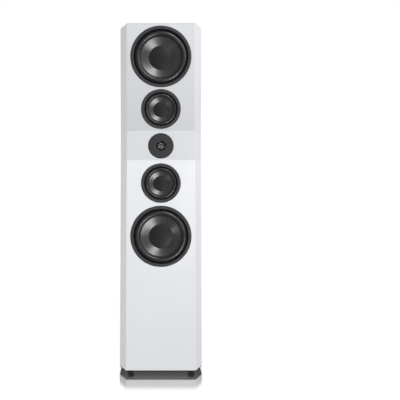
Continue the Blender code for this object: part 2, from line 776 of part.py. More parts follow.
def make_feet():
    """Rubber feet that taper to a flat tip, each on a stud that screws into the bottom panel."""
    names = ("front_left", "front_right", "rear_left", "rear_right")
    top = FOOT_HEIGHT
    for name, (x, y) in zip(names, foot_places()):
        axis = add_axis(f"foot_{name}_axis", (x, y, 0.0), (0.0, 0.0, 0.0))
        stud_top = top + STUD_LENGTH
        taper = FOOT_RADIUS - FOOT_TIP_RADIUS
        skirt = arc((FOOT_TIP_RADIUS, FOOT_SHOULDER), taper, 0, -90, 4, FOOT_SHOULDER)
        profile = [(0.0, stud_top), (STUD_RADIUS, stud_top), (STUD_RADIUS, top)]
        profile += [(FOOT_RADIUS, top), *skirt, (0.0, 0.0)]
        add_turned(f"foot_{name}", profile, SMALL_STEPS, RUBBER, axis)


def make_crossover():
    """The filter board on its standoffs, with its inductors and capacitors soldered down."""
    base = PANELS_BOTTOM + PANEL + GAP
    centre = Vector((*BOARD_CENTRE, 0.0))
    width, length, thickness = BOARD_SIZE
    low = base + STANDOFF
    high = low + thickness
    foot = high - SOLDERED
    half = Vector((width / 2, length / 2, 0.0))
    corner_low, corner_high = centre - half + Vector((0, 0, low)), centre + half + Vector((0, 0, high))
    board = add_box("crossover_board", corner_low, corner_high, CIRCUIT)

    def add_round(name, x, y, profile):
        spot = add_axis(f"{name}_axis", centre + Vector((x, y, 0.0)), (0.0, 0.0, 0.0))
        combine(board, add_turned(name, profile, SMALL_STEPS, parent=spot), "UNION")

    leg = [(0.0, foot), (STANDOFF_RADIUS, foot), (STANDOFF_RADIUS, base), (0.0, base)]
    out = half - Vector((STANDOFF_INSET, STANDOFF_INSET, 0.0))
    for i, (side, end) in enumerate(((-1, -1), (-1, 1), (1, -1), (1, 1))):
        add_round(f"standoff_{i}", side * out.x, end * out.y, leg)
    bore, core = INDUCTOR_BORE
    for i, (x, y, radius, tall) in enumerate(INDUCTORS):
        bobbin = [(0.0, high + core), (bore, high + core), (bore, high + tall)]
        bobbin += [(radius, high + tall), (radius, foot), (0.0, foot)]
        add_round(f"inductor_{i}", x, y, bobbin)
    can = Vector((*CAPACITOR_HALF, 0.0))
    for i, (x, y) in enumerate(CAPACITORS):
        middle = centre + Vector((x, y, 0.0))
        top = Vector((0.0, 0.0, high + CAPACITOR_TALL))
        body = add_box(f"capacitor_{i}", middle - can + Vector((0, 0, foot)), middle + can + top)
        combine(board, body, "UNION")


clear_scene()
PARTS = new_collection("floorstanding_speaker")
CUTTERS = new_collection("cutters")

LACQUER = material("white_lacquer", (0.86, 0.87, 0.89), 0.12)
BLACK_PAINT = material("black_paint", (0.015, 0.015, 0.016), 0.5)
FIBREBOARD = material("fibreboard", (0.42, 0.30, 0.19), 0.8)
RING_METAL = material("ring_satin_black", (0.045, 0.046, 0.049), 0.45)
CAST_METAL = material("cast_frame", (0.030, 0.030, 0.032), 0.5, 0.6)
RUBBER = material("rubber", (0.012, 0.012, 0.012), 0.5)
CONE_FIBRE = material("cone_fibre", (0.022, 0.022, 0.023), 0.35)
COIL = material("coil_winding", (0.55, 0.27, 0.12), 0.4, 0.8)
FABRIC = material("spider_cloth", (0.65, 0.45, 0.15), 0.9)
STEEL = material("plated_steel", (0.45, 0.45, 0.46), 0.35, 1.0)
FERRITE = material("ferrite", (0.035, 0.035, 0.036), 0.7)
DOME_METAL = material("dome_metal", (0.30, 0.30, 0.31), 0.25, 1.0)
PORT_PLASTIC = material("port_plastic", (0.012, 0.012, 0.013), 0.5)
GOLD = material("gold_plate", (0.85, 0.60, 0.22), 0.25, 1.0)
CAP_RED = material("cap_red", (0.45, 0.015, 0.012), 0.35)
CAP_BLACK = material("cap_black", (0.012, 0.012, 0.012), 0.35)
CIRCUIT = material("circuit_board", (0.030, 0.120, 0.050), 0.5)

front_baffle = make_front_baffle()
make_side_panels()
make_top_panel()
make_bottom_panel()
back_panel = make_rear_panel()
make_midrange_chamber()
make_window_brace()
for driver_name, (size, centre_height) in DRIVERS.items():
    make_cone_driver(driver_name, size, centre_height, front_baffle)
make_tweeter(front_baffle)
for place_name, port_height in PORT_HEIGHTS.items():
    make_port(f"reflex_port_{place_name}", port_height, back_panel)
make_terminals(back_panel)
make_feet()
make_crossover()
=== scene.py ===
"""The looks of the floorstanding loudspeaker: lacquered cabinet, drivers, tweeter, terminals and feet.

Every piece is built in the frame that the CAD model gives. A driver's pieces are turned about its own axis,
with +Z out of the baffle and 0 on the baffle's face. Metres throughout.
"""

import json
import math

import bmesh
import bpy
import numpy as np
from mathutils import Matrix, Vector

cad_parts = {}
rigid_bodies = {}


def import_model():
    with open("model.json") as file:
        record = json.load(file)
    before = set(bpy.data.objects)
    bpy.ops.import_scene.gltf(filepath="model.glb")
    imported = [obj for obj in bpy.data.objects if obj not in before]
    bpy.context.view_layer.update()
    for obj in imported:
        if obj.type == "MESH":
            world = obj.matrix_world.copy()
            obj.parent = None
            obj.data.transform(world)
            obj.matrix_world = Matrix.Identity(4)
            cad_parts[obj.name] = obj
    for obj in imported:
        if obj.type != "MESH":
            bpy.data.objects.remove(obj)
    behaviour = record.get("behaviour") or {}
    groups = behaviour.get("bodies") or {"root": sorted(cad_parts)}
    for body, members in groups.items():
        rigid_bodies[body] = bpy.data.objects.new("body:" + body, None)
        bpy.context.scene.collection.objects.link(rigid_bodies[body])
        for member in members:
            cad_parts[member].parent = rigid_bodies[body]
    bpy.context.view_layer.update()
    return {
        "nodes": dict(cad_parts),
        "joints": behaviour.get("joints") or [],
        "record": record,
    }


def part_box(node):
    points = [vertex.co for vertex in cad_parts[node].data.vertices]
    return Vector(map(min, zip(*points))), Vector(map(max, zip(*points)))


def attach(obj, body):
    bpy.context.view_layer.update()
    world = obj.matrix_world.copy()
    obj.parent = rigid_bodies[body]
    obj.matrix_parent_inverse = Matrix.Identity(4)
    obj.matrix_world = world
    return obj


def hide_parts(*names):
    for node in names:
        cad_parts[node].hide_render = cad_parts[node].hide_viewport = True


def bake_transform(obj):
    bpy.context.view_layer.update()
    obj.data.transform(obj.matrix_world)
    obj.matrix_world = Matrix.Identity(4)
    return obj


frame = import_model()

BODY = "cabinet"
STEPS = 128
NEAR = 0.001

# The camera stands in front, about level with the middle of the cabinet
FOCAL_LENGTH = 50.0
SENSOR = 36.0
CAMERA_HEIGHT = 0.6225
CAMERA_DISTANCE = 2.022
SHIFT_X = 0.0979
FACET_HEIGHT = 0.82

# Cabinet, as in the CAD
FACE_BENDS = (0.768, 0.874)
CHAMFER_DEPTH = 0.061
FACE_HALF_WIDTH = 0.124
BAFFLE = 0.022
POCKET_HALF_WIDTH = 0.119

# Rounded edges, the upper end's skin, and the gaps between pieces
EDGE_RADIUS = 0.0012
END_SKIN = 0.0020
SEAM = 0.00002
SEAM_SETBACK = 0.004
RING_MIDDLE = -0.0001
REBATE_DEPTH = 0.0080
REBATE_CLEARANCE = 0.0002


# Materials


def math_node(tree, operation, a, b=0.0):
    """A maths node's result, with each input linked to a socket or set to a number."""
    node = tree.nodes.new("ShaderNodeMath")
    node.operation = operation
    for socket, value in zip(node.inputs, (a, b)):
        if isinstance(value, bpy.types.NodeSocket):
            tree.links.new(value, socket)
        else:
            socket.default_value = value
    return node.outputs[0]


def range_node(tree, source, start, end, first, last):
    """A node that gives first where the source is at start, and last where it is at end."""
    node = tree.nodes.new("ShaderNodeMapRange")
    tree.links.new(source, node.inputs["Value"])
    limits = {"From Min": start, "From Max": end, "To Min": first, "To Max": last}
    for name, value in limits.items():
        node.inputs[name].default_value = value
    return node


class Finish:
    """A material with the node shortcuts that the finishes below share."""

    def __init__(self, name, colour, roughness, **sockets):
        self.material = bpy.data.materials.new(name)
        self.material.use_nodes = True
        self.tree = self.material.node_tree
        self.shader = self.tree.nodes["Principled BSDF"]
        self.colour = colour
        self.roughness = roughness
        self.shader.inputs["Base Color"].default_value = (*colour, 1.0)
        self.shader.inputs["Roughness"].default_value = roughness
        for socket, value in sockets.items():
            self.shader.inputs[socket.replace("_", " ")].default_value = value
        self.coordinates = self.add("ShaderNodeTexCoord").outputs["Object"]

    def add(self, kind, **settings):
        node = self.tree.nodes.new(kind)
        for name, value in settings.items():
            setattr(node, name, value)
        return node

    def link(self, source, target):
        self.tree.links.new(source, target)

    def feed(self, node, **inputs):
        """Sets a node's inputs by name. A socket is linked, and a number is set."""
        for name, value in inputs.items():
            target = node.inputs[name.replace("_", " ")]
            if isinstance(value, bpy.types.NodeSocket):
                self.link(value, target)
            else:
                target.default_value = value
        return node

    def maths(self, operation, a, b=0.0):
        return math_node(self.tree, operation, a, b)

    def noise(self, scale, detail=3.0, rough=0.5, vector=None):
        node = self.add("ShaderNodeTexNoise")
        self.feed(node, Vector=vector or self.coordinates, Scale=scale, Detail=detail, Roughness=rough)
        return node.outputs["Fac"]

    def stretched(self, x, y, z):
        node = self.add("ShaderNodeMapping")
        self.feed(node, Vector=self.coordinates)
        node.inputs["Scale"].default_value = (x, y, z)
        return node.outputs["Vector"]

    def radial(self, spin, reach):
        """Coordinates that run quickly round the piece's axis and slowly away from it."""
        parts = self.add("ShaderNodeSeparateXYZ")
        self.link(self.coordinates, parts.inputs[0])
        x, y = parts.outputs[0], parts.outputs[1]
        squares = self.maths("ADD", self.maths("MULTIPLY", x, x), self.maths("MULTIPLY", y, y))
        radius = self.maths("SQRT", squares)
        far = self.maths("MAXIMUM", radius, 0.0005)
        joined = self.add("ShaderNodeCombineXYZ")
        self.link(self.maths("MULTIPLY", self.maths("DIVIDE", x, far), spin), joined.inputs[0])
        self.link(self.maths("MULTIPLY", self.maths("DIVIDE", y, far), spin), joined.inputs[1])
        self.link(self.maths("MULTIPLY", radius, reach), joined.inputs[2])
        return joined.outputs[0]

    def ranged(self, source, low, high, from_low=0.3, from_high=0.7):
        return range_node(self.tree, source, from_low, from_high, low, high).outputs["Result"]

    def tint(self, source, other, low=0.35, high=0.65):
        """The colour turns into the other one where the pattern is high."""
        mix = self.add("ShaderNodeMix", data_type="RGBA")
        self.link(self.ranged(source, 0.0, 1.0, low, high), mix.inputs[0])
        mix.inputs[6].default_value = (*self.colour, 1.0)
        mix.inputs[7].default_value = (*other, 1.0)
        self.link(mix.outputs[2], self.shader.inputs["Base Color"])
        return self

    def vary(self, source, amount):
        low, high = self.roughness - amount, self.roughness + amount
        self.link(self.ranged(source, low, high), self.shader.inputs["Roughness"])
        return self

    def bump(self, source, height, strength):
        """Relief of the pattern, with its height in metres."""
        node = self.add("ShaderNodeBump")
        self.feed(node, Height=source, Distance=height, Strength=strength)
        self.link(node.outputs[0], self.shader.inputs["Normal"])
        return self


def scaled(colour, factor):
    return tuple(min(1.0, part * factor) for part in colour)


def make_lacquer():
    """High-gloss lacquer: a faint cloudiness in the white and a very low orange peel."""
    colour = (0.800, 0.810, 0.825)
    finish = Finish(
        "white_lacquer", colour, 0.34,
        Coat_Weight=1.0, Coat_Roughness=0.07, Coat_IOR=1.5, Specular_IOR_Level=0.4,
    )
    finish.tint(finish.noise(6.0, 4.0), scaled(colour, 0.985))
    finish.vary(finish.noise(40.0, 3.0), 0.03)
    return finish.bump(finish.noise(260.0, 2.0), 0.000006, 0.6)


def make_satin_black(name, colour):
    """Fine powder coat on the trim rings and the tweeter's plate."""
    finish = Finish(name, colour, 0.52, Specular_IOR_Level=0.34)
    finish.tint(finish.noise(900.0, 2.0), scaled(colour, 1.18))
    finish.vary(finish.noise(300.0, 3.0), 0.06)
    return finish.bump(finish.noise(2600.0, 2.0), 0.00003, 0.5)


def make_surround_rubber():
    colour = (0.009, 0.009, 0.0095)
    finish = Finish("surround_rubber", colour, 0.29, Specular_IOR_Level=0.42)
    finish.tint(finish.noise(120.0, 4.0), (0.013, 0.013, 0.0135))
    finish.vary(finish.noise(220.0, 3.0), 0.05)
    return finish.bump(finish.noise(1000.0, 2.0), 0.00001, 0.2)


def make_cone_fibre():
    """Pressed glass fibre under a clear skin: faint streaks run out from the middle."""
    colour = (0.008, 0.008, 0.0085)
    finish = Finish("cone_fibre", colour, 0.36, Coat_Weight=0.6, Coat_Roughness=0.27, Specular_IOR_Level=0.35)
    streaks = finish.noise(1.0, 5.0, 0.6, finish.radial(26.0, 30.0))
    finish.tint(streaks, (0.016, 0.016, 0.017))
    finish.vary(finish.noise(1.0, 4.0, 0.6, finish.radial(60.0, 60.0)), 0.06)
    return finish.bump(streaks, 0.00003, 0.35)


def make_cap_fibre():
    colour = (0.005, 0.005, 0.0055)
    finish = Finish("cap_fibre", colour, 0.46, Coat_Weight=0.03, Coat_Roughness=0.35, Specular_IOR_Level=0.21)
    finish.tint(finish.noise(420.0, 4.0, 0.65), (0.0075, 0.0075, 0.0085))
    finish.vary(finish.noise(180.0, 3.0), 0.05)
    return finish.bump(finish.noise(1500.0, 3.0), 0.00002, 0.4)


def make_grained(name, colour, roughness, scale=700.0, relief=0.00004, **sockets):
    """A plain cast, moulded or painted surface with a fine grain of its own."""
    finish = Finish(name, colour, roughness, **sockets)
    finish.tint(finish.noise(scale * 0.2, 4.0), scaled(colour, 1.35))
    finish.vary(finish.noise(scale * 0.5, 3.0), 0.07)
    return finish.bump(finish.noise(scale, 3.0), relief, 0.5)


def make_fibreboard():
    colour = (0.36, 0.25, 0.15)
    finish = Finish("fibreboard", colour, 0.85)
    finish.tint(finish.noise(1.0, 6.0, 0.7, finish.stretched(900.0, 300.0, 900.0)), (0.50, 0.38, 0.25))
    finish.vary(finish.noise(300.0), 0.06)
    return finish.bump(finish.noise(1200.0, 4.0), 0.00008, 0.6)


def make_winding():
    """Copper wire: turns along the coil's own axis."""
    colour = (0.50, 0.22, 0.09)
    finish = Finish("coil_winding", colour, 0.32, Metallic=0.9)
    wave = finish.add("ShaderNodeTexWave", wave_type="BANDS", bands_direction="Y")
    finish.feed(wave, Vector=finish.coordinates, Scale=700.0, Distortion=0.0)
    turns = wave.outputs["Fac"]
    finish.tint(turns, (0.30, 0.11, 0.04))
    finish.vary(finish.noise(500.0), 0.08)
    return finish.bump(turns, 0.00012, 0.8)


def make_spider_cloth():
    colour = (0.55, 0.36, 0.12)
    finish = Finish("spider_cloth", colour, 0.9, Sheen_Weight=0.3)
    threads = []
    for direction in ("X", "Z"):
        wave = finish.add("ShaderNodeTexWave", wave_type="BANDS", bands_direction=direction)
        finish.feed(wave, Vector=finish.coordinates, Scale=420.0, Distortion=0.4)
        threads.append(wave.outputs["Fac"])
    weave = finish.maths("MULTIPLY", threads[0], threads[1])
    finish.tint(weave, (0.40, 0.24, 0.07), 0.1, 0.6)
    finish.vary(finish.noise(400.0), 0.05)
    return finish.bump(weave, 0.00015, 0.8)


def make_steel():
    """Bright zinc plate with faint turning marks."""
    colour = (0.50, 0.50, 0.51)
    finish = Finish("plated_steel", colour, 0.32, Metallic=1.0)
    marks = finish.noise(1.0, 4.0, 0.6, finish.stretched(60.0, 900.0, 60.0))
    finish.tint(marks, (0.40, 0.40, 0.42))
    finish.vary(marks, 0.08)
    return finish.bump(finish.noise(600.0), 0.00002, 0.4)


def make_dome():
    colour = (0.055, 0.055, 0.058)
    finish = Finish("dome_metal", colour, 0.32, Metallic=1.0)
    finish.tint(finish.noise(500.0, 3.0), (0.042, 0.042, 0.045))
    finish.vary(finish.noise(900.0, 3.0), 0.05)
    return finish.bump(finish.noise(1800.0), 0.00001, 0.4)


def make_gold():
    colour = (0.83, 0.57, 0.20)
    finish = Finish("gold_plate", colour, 0.22, Metallic=1.0)
    finish.tint(finish.noise(350.0, 3.0), (0.74, 0.48, 0.15))
    finish.vary(finish.noise(700.0, 3.0), 0.06)
    return finish.bump(finish.noise(1500.0), 0.00001, 0.4)


def make_board():
    """Green resist over copper tracks."""
    colour = (0.020, 0.105, 0.045)
    finish = Finish("circuit_board", colour, 0.42)
    tracks = finish.add("ShaderNodeTexBrick")
    finish.feed(tracks, Vector=finish.coordinates, Scale=60.0, Mortar_Size=0.04)
    finish.tint(tracks.outputs["Fac"], (0.050, 0.200, 0.080), 0.2, 0.8)
    finish.vary(finish.noise(300.0), 0.06)
    return finish.bump(tracks.outputs["Fac"], 0.00010, 0.5)


FINISHES = {
    "white_lacquer": make_lacquer(),
    "black_paint": make_grained("black_paint", (0.030, 0.030, 0.031), 0.5, 900.0, 0.00003),
    "fibreboard": make_fibreboard(),
    "ring_satin_black": make_satin_black("ring_satin_black", (0.0175, 0.0175, 0.0190)),
    "cast_frame": make_grained(
        "cast_frame", (0.008, 0.008, 0.0085), 0.55, 600.0, 0.00006, Specular_IOR_Level=0.3
    ),
    "surround_rubber": make_surround_rubber(),
    "cone_fibre": make_cone_fibre(),
    "cap_fibre": make_cap_fibre(),
    "coil_winding": make_winding(),
    "spider_cloth": make_spider_cloth(),
    "plated_steel": make_steel(),
    "ferrite": make_grained("ferrite", (0.030, 0.030, 0.031), 0.7, 500.0, 0.00010),
    "dome_metal": make_dome(),
    "port_plastic": make_grained("port_plastic", (0.012, 0.012, 0.013), 0.42, 1300.0, 0.00003),
    "gold_plate": make_gold(),
    "cap_red": make_grained("cap_red", (0.42, 0.012, 0.010), 0.30, 800.0, 0.00002, Coat_Weight=0.4),
    "cap_black": make_grained("cap_black", (0.012, 0.012, 0.012), 0.30, 800.0, 0.00002, Coat_Weight=0.4),
    "circuit_board": make_board(),
    "foot_rubber": make_grained("foot_rubber", (0.010, 0.010, 0.010), 0.62, 1100.0, 0.00006),
}
SLOT_OF = {row["node"]: row["material_slot"] for row in frame["record"]["subparts"]}


def settle(piece, slot, body=BODY, stands_for=(), finish=None):
    """Gives a finished piece its material, its body, and the CAD nodes that it stands for."""
    piece.data.materials.clear()
    piece.data.materials.append((finish or FINISHES[slot]).material)
    if stands_for:
        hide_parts(*stands_for)
    if body is not None:
        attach(piece, body)
    return piece


# Mesh tools


def add_mesh(name, mesh, place=None):
    piece = bpy.data.objects.new(name, mesh)
    bpy.context.scene.collection.objects.link(piece)
    if place is not None:
        piece.matrix_world = place
    return piece


def from_bmesh(name, bm, place=None):
    bmesh.ops.recalc_face_normals(bm, faces=bm.faces)
    mesh = bpy.data.meshes.new(name)
    bm.to_mesh(mesh)
    bm.free()
    return add_mesh(name, mesh, place)


def smooth(piece, degrees=35.0):
    piece.data.shade_smooth()
    piece.data.set_sharp_from_angle(angle=math.radians(degrees))
    return piece


def apply_modifiers(piece):
    graph = bpy.context.evaluated_depsgraph_get()
    mesh = bpy.data.meshes.new_from_object(piece.evaluated_get(graph), depsgraph=graph)
    piece.modifiers.clear()
    piece.data = mesh
    return piece


def filleted(points, count=5):
    """A profile of (radius, height, fillet) points with its corners rounded. A fillet of 0 stays sharp."""
    found = []
    total = len(points)
    for i, (radius, height, fillet) in enumerate(points):
        corner = Vector((radius, height))
        if fillet == 0:
            found.append(corner)
            continue
        before = Vector(points[i - 1][:2]) - corner
        after = Vector(points[(i + 1) % total][:2]) - corner
        start, end = corner + before.normalized() * fillet, corner + after.normalized() * fillet
        for k in range(count + 1):
            t = k / count
            found.append(start * (1 - t) ** 2 + corner * 2 * t * (1 - t) + end * t * t)
    return [(point.x, point.y) for point in found]


def arc(centre, radius, start, end, count):
    """Points on an arc in a profile, with angles in degrees from +radius towards +height."""
    angles = [math.radians(start + (end - start) * i / (count - 1)) for i in range(count)]
    return [(centre[0] + radius * math.cos(a), centre[1] + radius * math.sin(a)) for a in angles]


def quarter(count):
    """Angles from 0 to a quarter turn, in that many steps."""
    return [math.pi / 2 * i / count for i in range(count + 1)]


def turned(name, profile, place, steps=STEPS, ripple=None):
    """A profile of (radius, height) points turned about the place's Z axis.

    It is a closed ring, unless it starts and ends on the axis. ripple(angle, height) scales the radius.
    """
    bm = bmesh.new()
    on_axis = profile[0][0] < 1e-9 and profile[-1][0] < 1e-9
    rows = []
    for radius, height in profile:
        if radius < 1e-9:
            rows.append([bm.verts.new((0.0, 0.0, height))] * steps)
            continue
        row = []
        for k in range(steps):
            angle = 2 * math.pi * k / steps
            reach = radius * (ripple(angle, height) if ripple else 1.0)
            row.append(bm.verts.new((reach * math.cos(angle), reach * math.sin(angle), height)))
        rows.append(row)
    pairs = list(zip(rows, rows[1:] if on_axis else rows[1:] + rows[:1]))
    for upper, lower in pairs:
        for k in range(steps):
            following = (k + 1) % steps
            corners = [upper[k], lower[k], lower[following], upper[following]]
            corners = list(dict.fromkeys(corners))
            if len(corners) > 2:
                bm.faces.new(corners)
    return smooth(from_bmesh(name, bm, place))


def cut(piece, cutters, operation="DIFFERENCE"):
    """Cuts the piece with each cutter, and removes the cutters."""
    for cutter in cutters:
        boolean = piece.modifiers.new("cut", "BOOLEAN")
        boolean.operation = operation
        boolean.solver = "EXACT"
        boolean.object = cutter
    bpy.context.view_layer.update()
    apply_modifiers(piece)
    for cutter in cutters:
        bpy.data.objects.remove(cutter)
    return piece


def weigh_normals(piece):
    """Keeps the large flats flat beside their rounded edges."""
    piece.data.shade_smooth()
    piece.data.set_sharp_from_angle(angle=math.radians(50))
    weighted = piece.modifiers.new("normals", "WEIGHTED_NORMAL")
    weighted.keep_sharp = True
    weighted.weight = 100
    return apply_modifiers(piece)


def lacquer(piece, *stands_for):
    weigh_normals(piece)
    settle(piece, "white_lacquer", stands_for=stands_for)


def loft(rings):
    """A bmesh solid between rings of points, all with the same number of points."""
    bm = bmesh.new()
    levels = [[bm.verts.new(point) for point in ring] for ring in rings]
    count = len(rings[0])
    for below, above in zip(levels, levels[1:]):
        for i in range(count):
            j = (i + 1) % count
            bm.faces.new((below[i], below[j], above[j], above[i]))
    bm.faces.new(levels[0])
    bm.faces.new(levels[-1])
    bmesh.ops.recalc_face_normals(bm, faces=bm.faces)
    return bm


def round_edges(bm, chosen):
    """Rounds the edges whose two ends the test accepts."""
    edges = [e for e in bm.edges if chosen(*(v.co for v in e.verts)) and e.calc_face_angle(0.0) > 0.01]
    bmesh.ops.bevel(
        bm, geom=edges, offset=EDGE_RADIUS, offset_type="OFFSET", segments=4, profile=0.5,
        affect="EDGES", clamp_overlap=False,
    )
    return bm


# Cabinet

LOW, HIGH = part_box("front_baffle")
SIDE_LOW, SIDE_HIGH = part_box("side_panel_right")
BOTTOM, TOP = LOW.z, HIGH.z
REAR = SIDE_HIGH.y
HALF_WIDTH = HIGH.x
INNER = SIDE_LOW.x


def face_points():
    """The baffle's face in side view, read from the CAD baffle: (height, y) at its ends and bends."""
    baffle = frame["nodes"]["front_baffle"]
    found = []
    for z in (BOTTOM, *FACE_BENDS, TOP):
        level = [v.co.y for v in baffle.data.vertices if abs(v.co.z - z) < NEAR]
        found.append((z, min(level)))
    return found


FACE = face_points()


def face_y(height):
    for (low, front), (high, next_front) in zip(FACE, FACE[1:]):
        if height <= high + 1e-6:
            return front + (next_front - front) * (height - low) / (high - low)
    raise ValueError("above the cabinet")


CAMERA_Y = face_y(FACET_HEIGHT) - CAMERA_DISTANCE


def levels_between(low, high):
    return [low, *(z for z, _ in FACE if low + 1e-4 < z < high - 1e-4), high]


def mirrored(right_side, height):
    left_side = [(-x, y) for x, y in reversed(right_side)]
    return [(x, y, height) for x, y in right_side + left_side]


def baffle_section(height):
    front = face_y(height)
    corner = front + CHAMFER_DEPTH
    return mirrored(
        [
            (FACE_HALF_WIDTH, front),
            (HALF_WIDTH, corner),
            (HALF_WIDTH, corner + SEAM_SETBACK),
            (INNER, corner + SEAM_SETBACK),
            (POCKET_HALF_WIDTH, front + BAFFLE),
        ],
        height,
    )


def driver_cutter(place, radius, depth):
    """A plug for a driver's seat, with a slightly rounded rim at the baffle's face."""
    rim, reach = 0.0002, 0.03
    profile = [(0.0, reach), (radius + rim + reach, reach), (radius + rim, 0.0)]
    profile += filleted([(radius + rim, 0.0, 0), (radius, 0.0, rim * 0.9), (radius, -depth, 0)], 3)[1:]
    hole = radius - 0.0100
    profile += [(hole, -depth), (hole, -reach), (0.0, -reach)]
    return turned("cutter", profile, place)


def baffle_part(name, low, high):
    """A length of the baffle, with its edges rounded except where the next length joins it."""
    bm = loft([baffle_section(z) for z in levels_between(low, high)])
    outside = FACE_HALF_WIDTH - NEAR

    def on_skin(point):
        front = face_y(point.z)
        on_face = point.y < front + NEAR
        on_corner = abs(point.x) > HALF_WIDTH - NEAR and point.y < front + CHAMFER_DEPTH + NEAR
        return abs(point.x) > outside and (on_face or on_corner)

    def chosen(a, b):
        joint = TOP - END_SKIN
        at_joint = abs(a.z - joint) < 0.0001 and abs(b.z - joint) < 0.0001
        return on_skin(a) and on_skin(b) and not at_joint

    return from_bmesh(name, round_edges(bm, chosen))


def make_baffle(seats):
    """The baffle, and the thin lacquered skin of its upper end, which lights separately."""
    baffle = baffle_part("lacquered_baffle", BOTTOM, TOP - END_SKIN)
    cut(baffle, [driver_cutter(*seat) for seat in seats])
    lacquer(baffle, "front_baffle")
    end = baffle_part("lacquered_end", TOP - END_SKIN, TOP)
    lacquer(end)


def make_side(name, side):
    heights = levels_between(BOTTOM, TOP)
    outline = [(face_y(z) + CHAMFER_DEPTH + SEAM_SETBACK + SEAM, z) for z in heights]
    outline += [(REAR, TOP), (REAR, BOTTOM)]
    bm = loft([[(side * x, y, z) for y, z in outline] for x in (INNER, HALF_WIDTH)])

    def on_rim(point):
        return abs(point.x) > HALF_WIDTH - NEAR and (
            point.y > REAR - NEAR or point.z > TOP - NEAR or point.z < BOTTOM + NEAR
        )

    def both(a, b):
        return on_rim(a) and on_rim(b) and (abs(a.z - b.z) < NEAR or min(a.y, b.y) > REAR - NEAR)

    round_edges(bm, both)
    panel = from_bmesh(f"lacquered_{name}", bm)
    lacquer(panel, name)


def make_top():
    low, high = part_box("top_panel")

    def section(height):
        front = face_y(height)
        setback = front + CHAMFER_DEPTH + SEAM_SETBACK
        return mirrored(
            [
                (POCKET_HALF_WIDTH - SEAM, front + BAFFLE + SEAM),
                (INNER - SEAM, setback + SEAM),
                (INNER - SEAM, REAR),
            ],
            height,
        )

    bm = loft([section(z) for z in levels_between(low.z, TOP)])
    round_edges(bm, lambda a, b: min(a.y, b.y) > REAR - NEAR and min(a.z, b.z) > TOP - NEAR)
    panel = from_bmesh("lacquered_top_panel", bm)
    lacquer(panel, "top_panel")


def box_bmesh(low, high, radius=0.0):
    bm = bmesh.new()
    low, high = Vector(low), Vector(high)
    place = Matrix.Translation((low + high) / 2) @ Matrix.Diagonal((*(high - low), 1.0))
    bmesh.ops.create_cube(bm, size=1.0, matrix=place)
    if radius:
        bmesh.ops.bevel(bm, geom=bm.edges[:], offset=radius, segments=3, profile=0.5, affect="EDGES")
    return bm


def make_rear(cutters):
    low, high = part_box("rear_panel")
    bm = box_bmesh((-INNER + SEAM, low.y, low.z), (INNER - SEAM, REAR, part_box("top_panel")[0].z - SEAM))
    panel = from_bmesh("lacquered_rear_panel", bm)
    cut(panel, cutters)
    lacquer(panel, "rear_panel")


# Drivers


def axis_place(origin, direction):
    """A frame at the origin with its Z along the direction and its X level."""
    z = Vector(direction).normalized()
    x = Vector((1.0, 0.0, 0.0))
    y = z.cross(x)
    rotation = Matrix((x, y, z)).transposed().to_4x4()
    return Matrix.Translation(origin) @ rotation


def middle_of(node):
    low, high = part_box(node)
    return (low + high) / 2


def radius_of(node):
    low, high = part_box(node)
    return (high.x - low.x) / 2


AXES = {joint["name"]: Vector(joint["axis"]) for joint in frame["joints"]}


class Driver:
    """A cone driver's place, and the sizes that its pieces share."""

    def __init__(self, name, large):
        self.name = name
        self.body = f"{name}_cone"
        direction = AXES[f"{name}_excursion"]
        centre = middle_of(f"{name}_trim_ring") - direction * RING_MIDDLE
        self.place = axis_place(centre, direction)
        self.ring = radius_of(f"{name}_trim_ring")
        self.cone = radius_of(f"{name}_cone")
        self.cap = radius_of(f"{name}_dust_cap")
        self.coil = radius_of(f"{name}_voice_coil")
        self.lip = radius_of(f"{name}_surround")
        self.ring_inner = self.lip + 0.0014
        self.roll_inner = self.cone + 0.0005
        self.roll_outer = 0.0930 if large else 0.0567
        self.edge = 0.0080 if large else 0.0076
        self.neck = 0.0300 if large else 0.0205
        self.spider = 0.0415 if large else 0.0280

    def depth(self, radius):
        """How deep the cone's face is at a radius."""
        share = (self.roll_inner - radius) / (self.roll_inner - self.coil)
        return self.edge + (self.neck - self.edge) * (0.86 * share + 0.14 * share * share)

    def seat(self):
        return self.place, self.ring + REBATE_CLEARANCE, REBATE_DEPTH


LIP_TOP = -0.0058
LIP_LOW = -0.0070


def flex(piece):
    """Bakes an annular piece's place into its mesh and reads its points into an array, which nothing uses."""
    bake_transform(piece)
    points = np.empty(len(piece.data.vertices) * 3)
    piece.data.vertices.foreach_get("co", points)


def make_trim_ring(d):
    top, low = 0.0015, -0.0017
    profile = filleted(
        [(d.ring_inner, top, 0.0010), (d.ring, top, 0.0008), (d.ring, low, 0), (d.ring_inner, low, 0)]
    )
    ring = turned(f"{d.name}_ring", profile, d.place)
    settle(ring, "ring_satin_black", stands_for=[f"{d.name}_trim_ring"])


def make_frame_lip(d):
    """The basket's dark landing that shows in the groove between the ring and the surround."""
    top = LIP_LOW - 0.0003
    inner, outer, shelf, low = d.roll_outer + 0.0004, d.ring - 0.0022, -0.0020, -0.0076
    profile = [(inner, top), (d.ring_inner, top), (d.ring_inner, shelf), (outer, shelf)]
    profile += [(outer, low), (inner, low)]
    landing = turned(f"{d.name}_landing", profile, d.place)
    settle(landing, "cast_frame")


def make_shaded_gasket(d, finish):
    """The matt ring that clamps the surround's flange, deep in the groove. Its near-black finish, darker than
    the rubber, is painted shade that keeps the groove dark.
    """
    low, top = LIP_TOP + 0.0001, LIP_TOP + 0.0009
    inner, outer = d.roll_outer + 0.0004, d.ring_inner - 0.0002
    profile = filleted([(inner, top, 0.0002), (outer, top, 0.0002), (outer, low, 0), (inner, low, 0)], 3)
    settle(turned(f"{d.name}_gasket", profile, d.place), "cast_frame", finish=finish)


